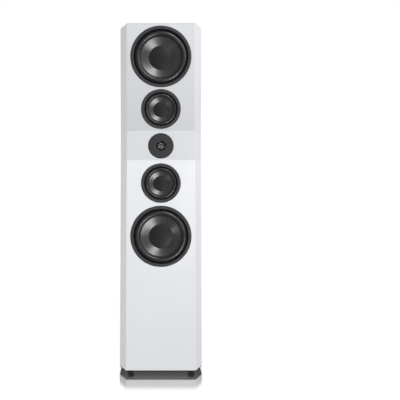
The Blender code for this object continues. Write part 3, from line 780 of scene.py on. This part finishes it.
def make_surround(d):
    centre = ((d.roll_outer + d.roll_inner) / 2, LIP_TOP - 0.0002)
    radius = (d.roll_outer - d.roll_inner) / 2
    skin = 0.0012
    inner_lip = d.roll_inner - 0.0036
    profile = [(inner_lip, LIP_TOP - 0.0008), (inner_lip + 0.0008, LIP_TOP)]
    profile += arc(centre, radius, 176, 4, 25)
    profile += [(d.lip - 0.0006, LIP_TOP), (d.lip, LIP_TOP - 0.0005), (d.lip, LIP_LOW)]
    profile += [(d.roll_outer - skin, LIP_LOW)]
    profile += arc(centre, radius - skin, 0, 180, 17)[1:-1]
    profile += [(d.roll_inner + skin, LIP_LOW), (inner_lip, LIP_LOW)]
    surround = turned(f"{d.name}_half_roll", profile, d.place)
    settle(surround, "surround_rubber", body=None, stands_for=[f"{d.name}_surround"])
    flex(surround)


def make_cone(d):
    inner = d.coil + 0.0004
    radii = [d.cone + (inner - d.cone) * i / 24 for i in range(25)]
    skin = 0.0012
    profile = [(radius, -d.depth(radius)) for radius in reversed(radii)]
    profile += [(radius, -d.depth(radius) - skin) for radius in radii]
    cone = turned(f"{d.name}_diaphragm", profile, d.place)
    settle(cone, "cone_fibre", d.body, [f"{d.name}_cone"])


def make_dust_cap(d):
    rim = -d.depth(d.cap) + 0.0003
    rise = 0.10 * d.cap
    count = 16
    face = [(d.cap * i / count, rim + 0.0012 + rise * (1 - (i / count) ** 2)) for i in range(count)]
    edge = filleted([face[-1] + (0,), (d.cap, rim + 0.0012, 0.0009), (d.cap, rim, 0)], 4)[1:]
    back = [(radius * 0.985, height - 0.0011) for radius, height in reversed(face)]
    cap = turned(f"{d.name}_cap", face + edge + back, d.place)
    settle(cap, "cap_fibre", d.body, [f"{d.name}_dust_cap"])


def make_spider(d):
    """The corrugated cloth disc behind the cone."""
    outer, inner = radius_of(f"{d.name}_spider"), d.coil + 0.0006
    low = -d.spider + 0.0003
    face = []
    for i in range(61):
        share = i / 60
        fade = min(1.0, (1 - share) * 8, share * 20)
        wave = math.sin(share * 11 * math.pi)
        face.append((inner + (outer - inner) * share, low + 0.0017 + fade * 0.0011 * wave))
    back = [(radius, height - 0.0008) for radius, height in reversed(face)]
    spider = turned(f"{d.name}_centring_disc", face + back, d.place, 96)
    settle(spider, "spider_cloth", body=None, stands_for=[f"{d.name}_spider"])
    flex(spider)


def make_driver(d, shade_gasket):
    make_trim_ring(d)
    make_frame_lip(d)
    make_shaded_gasket(d, shade_gasket)
    make_surround(d)
    make_cone(d)
    make_dust_cap(d)
    make_spider(d)


# Tweeter

TWEETER_AXIS = AXES["tweeter_excursion"]
PLATE_LOW, PLATE_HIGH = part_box("tweeter_faceplate")
PLATE_PROUD = 0.0008
PLATE_THICKNESS = 0.0055
TWEETER_ORIGIN = Vector((0.0, PLATE_LOW.y, (PLATE_LOW.z + PLATE_HIGH.z) / 2)) - TWEETER_AXIS * PLATE_PROUD
TWEETER = axis_place(TWEETER_ORIGIN, TWEETER_AXIS)
PLATE_RADIUS = radius_of("tweeter_faceplate")
DOME_RADIUS = radius_of("tweeter_dome")
MOUTH, THROAT = 0.0187, 0.0164
DOME_TOP, DOME_BASE = -0.0022, -0.0070


def make_tweeter_plate():
    face, back, boss = PLATE_PROUD, PLATE_PROUD - PLATE_THICKNESS, PLATE_PROUD - PLATE_THICKNESS - 0.0018
    hub = radius_of("tweeter_motor")
    corners = [(MOUTH, face, 0.0006), (PLATE_RADIUS, face, 0.0008), (PLATE_RADIUS, back, 0), (hub, back, 0)]
    corners += [(hub, boss, 0), (THROAT, boss, 0), (THROAT + 0.0006, -0.0030, 0.0010)]
    plate = turned("tweeter_plate", filleted(corners), TWEETER)
    # The plate's black is a darker copy of the rings' satin black: painted shade that makes up for the light
    # its flat face catches
    plate_shaded_black = make_satin_black("plate_satin_black", (0.0115, 0.0115, 0.0125))
    settle(plate, "ring_satin_black", stands_for=["tweeter_faceplate"], finish=plate_shaded_black)


def make_dome_and_roll():
    rise = DOME_TOP - DOME_BASE
    dome = [(DOME_RADIUS * math.sin(a), DOME_BASE + rise * math.cos(a)) for a in quarter(20)]
    skin, former_end = 0.0005, -0.0150
    inner = [(r * (1 - skin / DOME_RADIUS), z - skin) for r, z in reversed(dome)]
    former = [(DOME_RADIUS, former_end), (DOME_RADIUS - skin, former_end)]
    cap = turned("tweeter_dome_shell", dome + former + inner, TWEETER, 96)
    settle(cap, "dome_metal", "tweeter_dome", ["tweeter_dome"])

    outer = THROAT - 0.0002
    centre = ((DOME_RADIUS + outer) / 2, DOME_BASE - 0.0001)
    radius = (outer - DOME_RADIUS) / 2
    profile = arc(centre, radius, 180, 0, 13) + arc(centre, radius - 0.0004, 0, 180, 13)
    roll = turned("tweeter_roll", profile, TWEETER, 96)
    settle(roll, "surround_rubber", body=None)
    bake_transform(roll)
    points = np.empty(len(roll.data.vertices) * 3)
    roll.data.vertices.foreach_get("co", points)
    points = points.reshape(-1, 3) - np.array(TWEETER.translation)


def make_diffuser():
    """The open lens in front of the dome: a hub and a ring on three curved arms."""
    parts = bmesh.new()
    level = -0.0003
    bmesh.ops.create_uvsphere(
        parts, u_segments=24, v_segments=12, radius=1.0,
        matrix=Matrix.Translation((0, 0, level)) @ Matrix.Diagonal((0.0030, 0.0030, 0.0011, 1.0)),
    )
    steps, sides = 48, 10

    def tube(path, radius):
        rows = []
        closed = path[0] == path[-1]
        points = path[:-1] if closed else path
        total = len(points)
        for i, (x, y) in enumerate(points):
            following = points[(i + 1) % total] if closed or i + 1 < total else points[i]
            previous = points[i - 1] if closed or i else points[i]
            along = Vector((following[0] - previous[0], following[1] - previous[1], 0.0)).normalized()
            across = Vector((-along.y, along.x, 0.0))
            row = []
            for k in range(sides):
                angle = 2 * math.pi * k / sides
                offset = across * math.cos(angle) * radius + Vector((0, 0, math.sin(angle) * 0.0008))
                row.append(parts.verts.new(Vector((x, y, level)) + offset))
            rows.append(row)
        pairs = list(zip(rows, rows[1:])) + ([(rows[-1], rows[0])] if closed else [])
        for near, far in pairs:
            for k in range(sides):
                parts.faces.new((near[k], near[(k + 1) % sides], far[(k + 1) % sides], far[k]))
        if not closed:
            parts.faces.new(rows[0])
            parts.faces.new(rows[-1])

    ring_radius = 0.0085
    angles = [2 * math.pi * i / steps for i in range(steps)]
    ring = [(ring_radius * math.cos(a), ring_radius * math.sin(a)) for a in angles]
    tube([*ring, ring[0]], 0.0016)
    for arm in range(3):
        path = []
        for i in range(17):
            share = i / 16
            angle = math.radians(97 + 120 * arm + 38 * (share - 0.5))
            reach = 0.0010 + (MOUTH - 0.0008) * share
            path.append((reach * math.cos(angle), reach * math.sin(angle)))
        tube(path, 0.0009)
    lens = from_bmesh("tweeter_lens", parts, TWEETER)
    remesh = lens.modifiers.new("remesh", "REMESH")
    remesh.mode = "VOXEL"
    remesh.voxel_size = 0.00024
    soften = lens.modifiers.new("soften", "SMOOTH")
    soften.factor = 0.5
    soften.iterations = 4
    bpy.context.view_layer.update()
    apply_modifiers(lens)
    smooth(lens, 60)
    # Glossier than the rings, and a lighter grey than their black: the lighter grey is painted highlight, so
    # that the hub and ring show bright
    gloss_and_highlight = make_grained("lens_gloss", (0.065, 0.065, 0.068), 0.24, 900.0, 0.00001, Coat_Weight=0.4)
    settle(lens, "ring_satin_black", stands_for=["tweeter_diffuser"], finish=gloss_and_highlight)


# Back

SCREW_INSET = 0.0052
SCREW_RADIUS = 0.0032
SCREW_SEAT = -0.0002


def rear_place(x, height):
    return axis_place(Vector((x, REAR, height)), (0.0, 1.0, 0.0))


def make_port(node):
    low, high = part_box(node)
    place = rear_place(0.0, (low.z + high.z) / 2)
    flange, bore, wall = (high.x - low.x) / 2, 0.0380, 0.0035
    length = REAR - low.y
    spread, face, back = 0.0100, -0.0002, -0.0037
    flare = [(bore + spread * (1 - math.cos(a)), -0.0147 + 0.0145 * math.sin(a)) for a in quarter(14)]
    inner_flare = [
        (bore + 0.0030 * (1 - math.cos(a)), -length + 0.006 - 0.006 * math.sin(a))
        for a in reversed(quarter(6))
    ]
    corners = [(bore + spread, face, 0), (flange, face, 0.0007), (flange, back, 0)]
    profile = filleted([*corners, (bore + wall, back, 0), (bore + wall, -length, 0)])
    profile = profile[1:] + inner_flare + flare
    port = turned(f"{node}_tube", profile, place)
    settle(port, "port_plastic", stands_for=[node])
    reach = 0.05
    cutter = [(0.0, reach), (flange + 0.0005, reach), (flange + 0.0005, -0.0040)]
    cutter += [(bore + wall + 0.0005, -0.0040), (bore + wall + 0.0005, -reach), (0.0, -reach)]
    return turned("cutter", cutter, place)


def make_screw(name, place, radius):
    """A black pan-head screw with a cross slot."""
    profile = [(0.0, 0.42 * radius)]
    profile += [(radius * math.sin(a), 0.42 * radius * math.cos(a)) for a in quarter(8)[1:-1]]
    profile += [(radius, 0.0), (radius * 0.96, -0.1 * radius)]
    profile += [(0.45 * radius, -0.1 * radius), (0.0, -0.12 * radius)]
    head = turned(name, profile, place, 40)
    slots = []
    length, width = 0.62 * radius, 0.12 * radius
    for turn in (0.0, math.pi / 2):
        bm = box_bmesh((-length, -width, width), (length, width, radius))
        slots.append(from_bmesh("cutter", bm, place @ Matrix.Rotation(turn + 0.4, 4, "Z")))
    cut(head, slots)
    smooth(head, 40)
    settle(head, "cap_black")


def make_terminal_cup():
    low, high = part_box("terminal_cup")
    middle = (low + high) / 2
    place = rear_place(0.0, middle.z)
    rim_x, rim_y = (high.x - low.x) / 2, (high.z - low.z) / 2
    half_x, half_y, wall, depth = rim_x - 0.010, rim_y - 0.010, 0.004, REAR - low.y
    flange = box_bmesh((-rim_x, -rim_y, -0.0030), (rim_x, rim_y, -0.0003), 0.0009)
    cup = from_bmesh("terminal_tray", flange, place)
    body = from_bmesh("cutter", box_bmesh((-half_x, -half_y, -depth), (half_x, half_y, -0.0012)), place)
    cut(cup, [body], "UNION")

    def mouth(inset, height):
        x, y, corner = half_x - inset, half_y - inset, 0.006
        points = []
        for cx, cy, start in ((x, y, 0), (-x, y, 90), (-x, -y, 180), (x, -y, 270)):
            middle_x, middle_y = cx - math.copysign(corner, cx), cy - math.copysign(corner, cy)
            for k in range(7):
                angle = math.radians(start + 15 * k)
                along, up = corner * math.cos(angle), corner * math.sin(angle)
                points.append((middle_x + along, middle_y + up, height))
        return points

    floor = -depth + wall
    rings = [mouth(0.0085, floor), mouth(0.0070, floor + 0.0010)]
    rings += [mouth(0.0042, -0.0020), mouth(0.0028, 0.0004), mouth(0.0028, 0.01)]
    hollow = from_bmesh("cutter", loft(rings), place)
    holes = []
    for node in ("binding_post_red", "binding_post_black"):
        hole = [(0.0, 0.01), (0.0033, 0.01), (0.0033, -0.05), (0.0, -0.05)]
        holes.append(turned("cutter", hole, rear_place(middle_of(node).x, middle.z), 48))
    cut(cup, [hollow, *holes])
    weigh_normals(cup)
    settle(cup, "port_plastic", stands_for=["terminal_cup"])
    screw_x, screw_y = rim_x - SCREW_INSET, rim_y - SCREW_INSET
    for i, (sx, sy) in enumerate(((-1, -1), (1, -1), (-1, 1), (1, 1))):
        spot = rear_place(sx * screw_x, middle.z + sy * screw_y) @ Matrix.Translation((0, 0, SCREW_SEAT))
        make_screw(f"terminal_screw_{i}", spot, SCREW_RADIUS)
    bm = box_bmesh((-half_x, -half_y, -0.05), (half_x, half_y, 0.05))
    hole = from_bmesh("cutter", bm, place)
    bm = box_bmesh((-rim_x - 0.0005, -rim_y - 0.0005, -0.0033), (rim_x + 0.0005, rim_y + 0.0005, 0.05))
    return [hole, from_bmesh("cutter", bm, place)]


def make_posts():
    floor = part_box("terminal_cup")[0].y - REAR + 0.004
    for colour in ("red", "black"):
        place = rear_place(middle_of(f"binding_post_{colour}").x, middle_of("terminal_cup").z)
        pitch = 0.0007
        thread = [(0.00300 if i % 2 else 0.00272, -0.0050 - pitch * 0.5 * i) for i in range(40)]
        washer = floor + 0.0030
        profile = [(0.0, -0.0190), (0.0021, -0.0190), (0.0021, -0.0043), (0.0024, -0.0040), (0.0028, -0.0040)]
        profile += [point for point in thread if point[1] > washer]
        profile += filleted([(0.0029, washer, 0), (0.0070, washer, 0.0005), (0.0070, floor + 0.0003, 0)], 3)
        profile += [(0.0030, floor + 0.0003), (0.0030, floor - 0.016), (0.0, floor - 0.016)]
        post = turned(f"terminal_post_{colour}", profile, place, 64)
        settle(post, "gold_plate", stands_for=[f"binding_post_{colour}"])

        top, low, radius = -0.0055, floor + 0.0033, radius_of(f"post_cap_{colour}")
        corners = [(0.0034, top, 0), (radius - 0.0006, top, 0.0009), (radius - 0.0006, top - 0.0030, 0.0002)]
        corners += [(radius, top - 0.0034, 0.0003), (radius, low + 0.0022, 0.0003)]
        corners += [(radius - 0.0005, low + 0.0018, 0.0002), (radius - 0.0005, low, 0.0004), (0.0034, low, 0)]
        ribs = 22

        def knurl(angle, height, high=top - 0.0036, bottom=low + 0.0024):
            inside = bottom < height < high
            return 1.0 + (0.022 * (math.cos(ribs * angle) - 1.0) if inside else 0.0)

        profile = filleted(corners, 3)
        dense = []
        for (r0, z0), (_, z1) in zip(profile, profile[1:] + profile[:1]):
            dense.append((r0, z0))
            if abs(z1 - z0) > 0.004 and r0 > 0.005:
                dense += [(r0, z0 + (z1 - z0) * t) for t in (0.06, 0.12, 0.5, 0.88, 0.94)]
        cap = turned(f"terminal_knob_{colour}", dense, place, ribs * 8, knurl)
        settle(cap, f"cap_{colour}", f"post_cap_{colour}", [f"post_cap_{colour}"])


def make_foot(node):
    low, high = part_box(node)
    middle = (low + high) / 2
    radius = (high.x - low.x) / 2
    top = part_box("bottom_panel")[0].z - 0.0003
    tip, shoulder = 0.0060, 0.0065
    corners = [(0.0040, top, 0), (radius, top, 0.0007), (radius, shoulder, 0)]
    skirt = [
        (tip + (radius - tip) * math.cos(a), shoulder - shoulder * math.sin(a)) for a in quarter(14)[1:]
    ]
    profile = [(0.0, high.z), (0.0040, high.z), *filleted(corners), *skirt, (0.0, 0.0)]
    foot = turned(f"{node}_pad", profile, Matrix.Translation((middle.x, middle.y, 0.0)), 72)
    settle(foot, "foot_rubber", node, [node])


def finish_cad_nodes():
    """The CAD pieces that still show get their slot's finish."""
    for name, node in frame["nodes"].items():
        if node.hide_render:
            continue
        finish = FINISHES[SLOT_OF[name]].material
        if not node.material_slots:
            node.data.materials.append(finish)
        for slot in node.material_slots:
            slot.material = finish


# Studio


def emission_world():
    """White to the camera and to the floor's mirror, and a dim even room to the object."""
    world = bpy.data.worlds.new("studio")
    bpy.context.scene.world = world
    world.use_nodes = True
    tree = world.node_tree
    background = tree.nodes["Background"]
    background.inputs["Color"].default_value = (0.94, 0.96, 1.0, 1.0)
    background.inputs["Strength"].default_value = ROOM_LEVEL
    path = tree.nodes.new("ShaderNodeLightPath")
    shown = background.outputs[0]
    levels = {"Is Glossy Ray": ROOM_REFLECTED, "Is Singular Ray": ROOM_MIRRORED, "Is Camera Ray": 1.0}
    for ray, level in levels.items():
        other = tree.nodes.new("ShaderNodeBackground")
        other.inputs["Color"].default_value = (1.0, 1.0, 1.0, 1.0)
        other.inputs["Strength"].default_value = level
        mix = tree.nodes.new("ShaderNodeMixShader")
        tree.links.new(path.outputs[ray], mix.inputs[0])
        tree.links.new(shown, mix.inputs[1])
        tree.links.new(other.outputs[0], mix.inputs[2])
        shown = mix.outputs[0]
    tree.links.new(shown, tree.nodes["World Output"].inputs["Surface"])


MIRROR_FULL, MIRROR_END = 0.105, 0.172
MIRROR_EDGE = 0.003
# The painted contact shadow on the mirror: the glow over it far from the base, and the distances in front
# over which it rises
MIRROR_COLOUR = 0.64
CONTACT_SHADE_GLOW = 0.13
CONTACT_SHADE_START, CONTACT_SHADE_END = 0.170, 0.300
ROOM_LEVEL = 0.70
ROOM_REFLECTED = 0.42
ROOM_MIRRORED = 1.25
FLOOR_SIZE = 8.0
FLOOR_LEVEL = 0.20
FLOOR_WHITE = 0.93
FLOOR_MATT = 0.12
# Each light falls on the cabinet's front, on its drivers, on its underside, on everything else,
# or on a mix of them
LIGHTS = (
    # name, place, aim, size, power, what it lights
    ("front_fill", (0.9, -3.2, 1.2), (0.0, -0.2, 0.60), (1.6, 1.6), 4.0, ("front",)),
    ("ceiling", (0.6, -0.70, 7.50), (0.0, -0.2, 0.80), (2.0, 0.8), 1700.0, ("front",)),
    ("near_top", (0.35, -0.60, 2.30), (0.0, -0.2, 1.10), (0.5, 0.5), 8.0, ("front",)),
    ("left", (-2.7, -0.28, 0.35), (0.0, -0.1, 0.60), (1.0, 1.0), 24.0, ("front", "rest")),
    ("key", (1.1, -2.60, 3.20), (0.0, -0.2, 0.80), (0.8, 1.7), 78.0, ("drivers",)),
    ("low_right", (1.35, -2.70, -0.50), (0.0, -0.2, 0.80), (0.9, 1.9), 85.0, ("drivers",)),
    ("low_left", (-2.0, -2.2, -0.35), (0.0, -0.2, 0.80), (0.4, 0.4), 8.0, ("drivers",)),
    ("strip_right", (2.2, -1.1, 2.0), (0.0, -0.2, 0.80), (0.4, 1.4), 26.0, ("drivers",)),
    ("below", (0.0, 0.2, -1.2), (0.0, 0.0, 0.05), (0.8, 0.8), 16.0, ("underside",)),
    ("right", (2.8, -0.28, 1.3), (0.0, -0.1, 0.90), (1.0, 1.6), 17.0, ("front", "rest")),
    ("back", (0.3, 3.4, 2.3), (0.0, 0.1, 0.70), (2.0, 1.8), 52.0, ("rest",)),
    ("back_right", (3.2, 1.2, 1.6), (0.1, 0.1, 0.70), (1.4, 1.8), 12.0, ("rest",)),
)
DRIVER_NAMES = ("woofer", "midrange", "tweeter")


def group_of(name):
    if name == "lacquered_baffle":
        return "front"
    if name == "bottom_panel":
        return "underside"
    return "drivers" if name.startswith(DRIVER_NAMES) else "rest"


def add_light(name, place, aim, size, power, lit):
    data = bpy.data.lights.new(name, "AREA")
    data.shape = "RECTANGLE"
    data.size, data.size_y = size
    data.energy = power
    light = bpy.data.objects.new(name, data)
    bpy.context.scene.collection.objects.link(light)
    light.location = place
    light.visible_camera = False
    receivers = bpy.data.collections.new(f"{name}_falls_on")
    blockers = bpy.data.collections.new(f"{name}_stopped_by")
    for piece in bpy.context.scene.objects:
        if piece.type != "MESH":
            continue
        if group_of(piece.name) in lit:
            receivers.objects.link(piece)
        # The trim rings throw no shadow on the lacquer
        if "front" not in lit or group_of(piece.name) != "drivers":
            blockers.objects.link(piece)
    light.light_linking.receiver_collection = receivers
    light.light_linking.blocker_collection = blockers
    light.rotation_euler = (Vector(aim) - Vector(place)).to_track_quat("-Z", "Y").to_euler()


def make_floor():
    """White, with a mirror image of the speaker that fades away a little in front of it, and a painted
    contact shadow: the mirror is darker next to the base than further out.
    """
    bm = bmesh.new()
    bmesh.ops.create_grid(bm, x_segments=1, y_segments=1, size=FLOOR_SIZE)
    floor = from_bmesh("studio_floor", bm)
    finish = bpy.data.materials.new("studio_floor")
    finish.use_nodes = True
    tree = finish.node_tree
    tree.nodes.clear()

    def add(kind, *sources, **values):
        node = tree.nodes.new(kind)
        for name, value in values.items():
            node.inputs[name.replace("_", " ")].default_value = value
        for i, source in enumerate(sources):
            tree.links.new(source, node.inputs[i])
        return node.outputs[0]

    def maths(operation, a, b=0.0):
        return math_node(tree, operation, a, b)

    def ramp(source, start, end, first, last):
        node = range_node(tree, source, start, end, first, last)
        node.interpolation_type = "SMOOTHSTEP"
        return node.outputs["Result"]

    parts = tree.nodes.new("ShaderNodeSeparateXYZ")
    tree.links.new(tree.nodes.new("ShaderNodeTexCoord").outputs["Object"], parts.inputs[0])
    # How far a point of the floor lies in front of the footprint. The mirror's sides run towards the camera's
    # place, as the mirrored edges of the cabinet do in its view
    front = -face_y(BOTTOM)
    to_camera = -CAMERA_Y
    toward = maths("MULTIPLY", parts.outputs[1], -1.0)
    off_axis = maths("ABSOLUTE", parts.outputs[0])
    shrink = maths("DIVIDE", maths("SUBTRACT", to_camera, toward), to_camera - front)
    across = maths("DIVIDE", off_axis, maths("MINIMUM", shrink, 1.0))
    into_chamfer = maths("MAXIMUM", maths("SUBTRACT", across, FACE_HALF_WIDTH), 0.0)
    slope = CHAMFER_DEPTH / (HALF_WIDTH - FACE_HALF_WIDTH)
    outline = maths("SUBTRACT", front, maths("MULTIPLY", into_chamfer, slope))
    ahead = maths("SUBTRACT", toward, outline)
    fade = ramp(ahead, MIRROR_FULL, MIRROR_END, 1.0, 0.0)
    beside = ramp(across, HALF_WIDTH - MIRROR_EDGE, HALF_WIDTH, 1.0, 0.0)
    under = maths("GREATER_THAN", toward, -REAR)
    # Painted contact shadow: a glow on the mirror that is nothing near the cabinet and rises further out, so
    # the floor is darker next to the base
    contact_shade_ramp = ramp(toward, CONTACT_SHADE_START, CONTACT_SHADE_END, 0.0, CONTACT_SHADE_GLOW)
    seen = tree.nodes.new("ShaderNodeLightPath").outputs["Is Camera Ray"]
    white = add("ShaderNodeEmission", Strength=FLOOR_WHITE)
    bounce = add("ShaderNodeEmission", Strength=FLOOR_LEVEL)
    mirror = add("ShaderNodeBsdfGlossy", Roughness=0.0, Color=(*[MIRROR_COLOUR] * 3, 1.0))
    contact_shade_glow = tree.nodes.new("ShaderNodeEmission")
    tree.links.new(contact_shade_ramp, contact_shade_glow.inputs["Strength"])
    mirror_and_contact_shade = add("ShaderNodeAddShader", mirror, contact_shade_glow.outputs[0])
    matt = add("ShaderNodeBsdfDiffuse", Color=(*[FLOOR_MATT] * 3, 1.0))
    plain = add("ShaderNodeAddShader", white, matt)
    share = maths("MULTIPLY", maths("MULTIPLY", fade, beside), under)
    polished = add("ShaderNodeMixShader", share, plain, mirror_and_contact_shade)
    shown = add("ShaderNodeMixShader", seen, bounce, polished)
    tree.links.new(shown, tree.nodes.new("ShaderNodeOutputMaterial").inputs["Surface"])
    floor.data.materials.append(finish)
    floor.visible_glossy = False
    floor.visible_shadow = False


def make_camera():
    data = bpy.data.cameras.new("camera")
    data.lens = FOCAL_LENGTH
    data.sensor_width = SENSOR
    data.shift_x = SHIFT_X
    camera = bpy.data.objects.new("camera", data)
    bpy.context.scene.collection.objects.link(camera)
    camera.location = (0.0, CAMERA_Y, CAMERA_HEIGHT)
    camera.rotation_euler = (math.pi / 2, 0.0, 0.0)
    bpy.context.scene.camera = camera


drivers = [
    Driver("woofer_upper", True),
    Driver("midrange_upper", False),
    Driver("midrange_lower", False),
    Driver("woofer_lower", True),
]
make_camera()
tweeter_seat = (TWEETER, PLATE_RADIUS + REBATE_CLEARANCE, 0.0050)
make_baffle([*(d.seat() for d in drivers), tweeter_seat])
make_side("side_panel_left", -1)
make_side("side_panel_right", 1)
make_top()
rear_cutters = [make_port("reflex_port_upper"), make_port("reflex_port_lower"), *make_terminal_cup()]
make_rear(rear_cutters)
# Near-black, matt and nearly without gloss: painted shade for the groove round each driver
shade_gasket = make_grained("gasket_black", (0.0035, 0.0035, 0.0037), 0.9, 1500.0, 0.00005, Specular_IOR_Level=0.08)
for d in drivers:
    make_driver(d, shade_gasket)
make_tweeter_plate()
make_dome_and_roll()
make_diffuser()
make_posts()
for foot_name in ("front_left", "front_right", "rear_left", "rear_right"):
    make_foot(f"foot_{foot_name}")
finish_cad_nodes()

emission_world()
for light in LIGHTS:
    add_light(*light)
make_floor()
bpy.context.scene.view_settings.view_transform = "Standard"
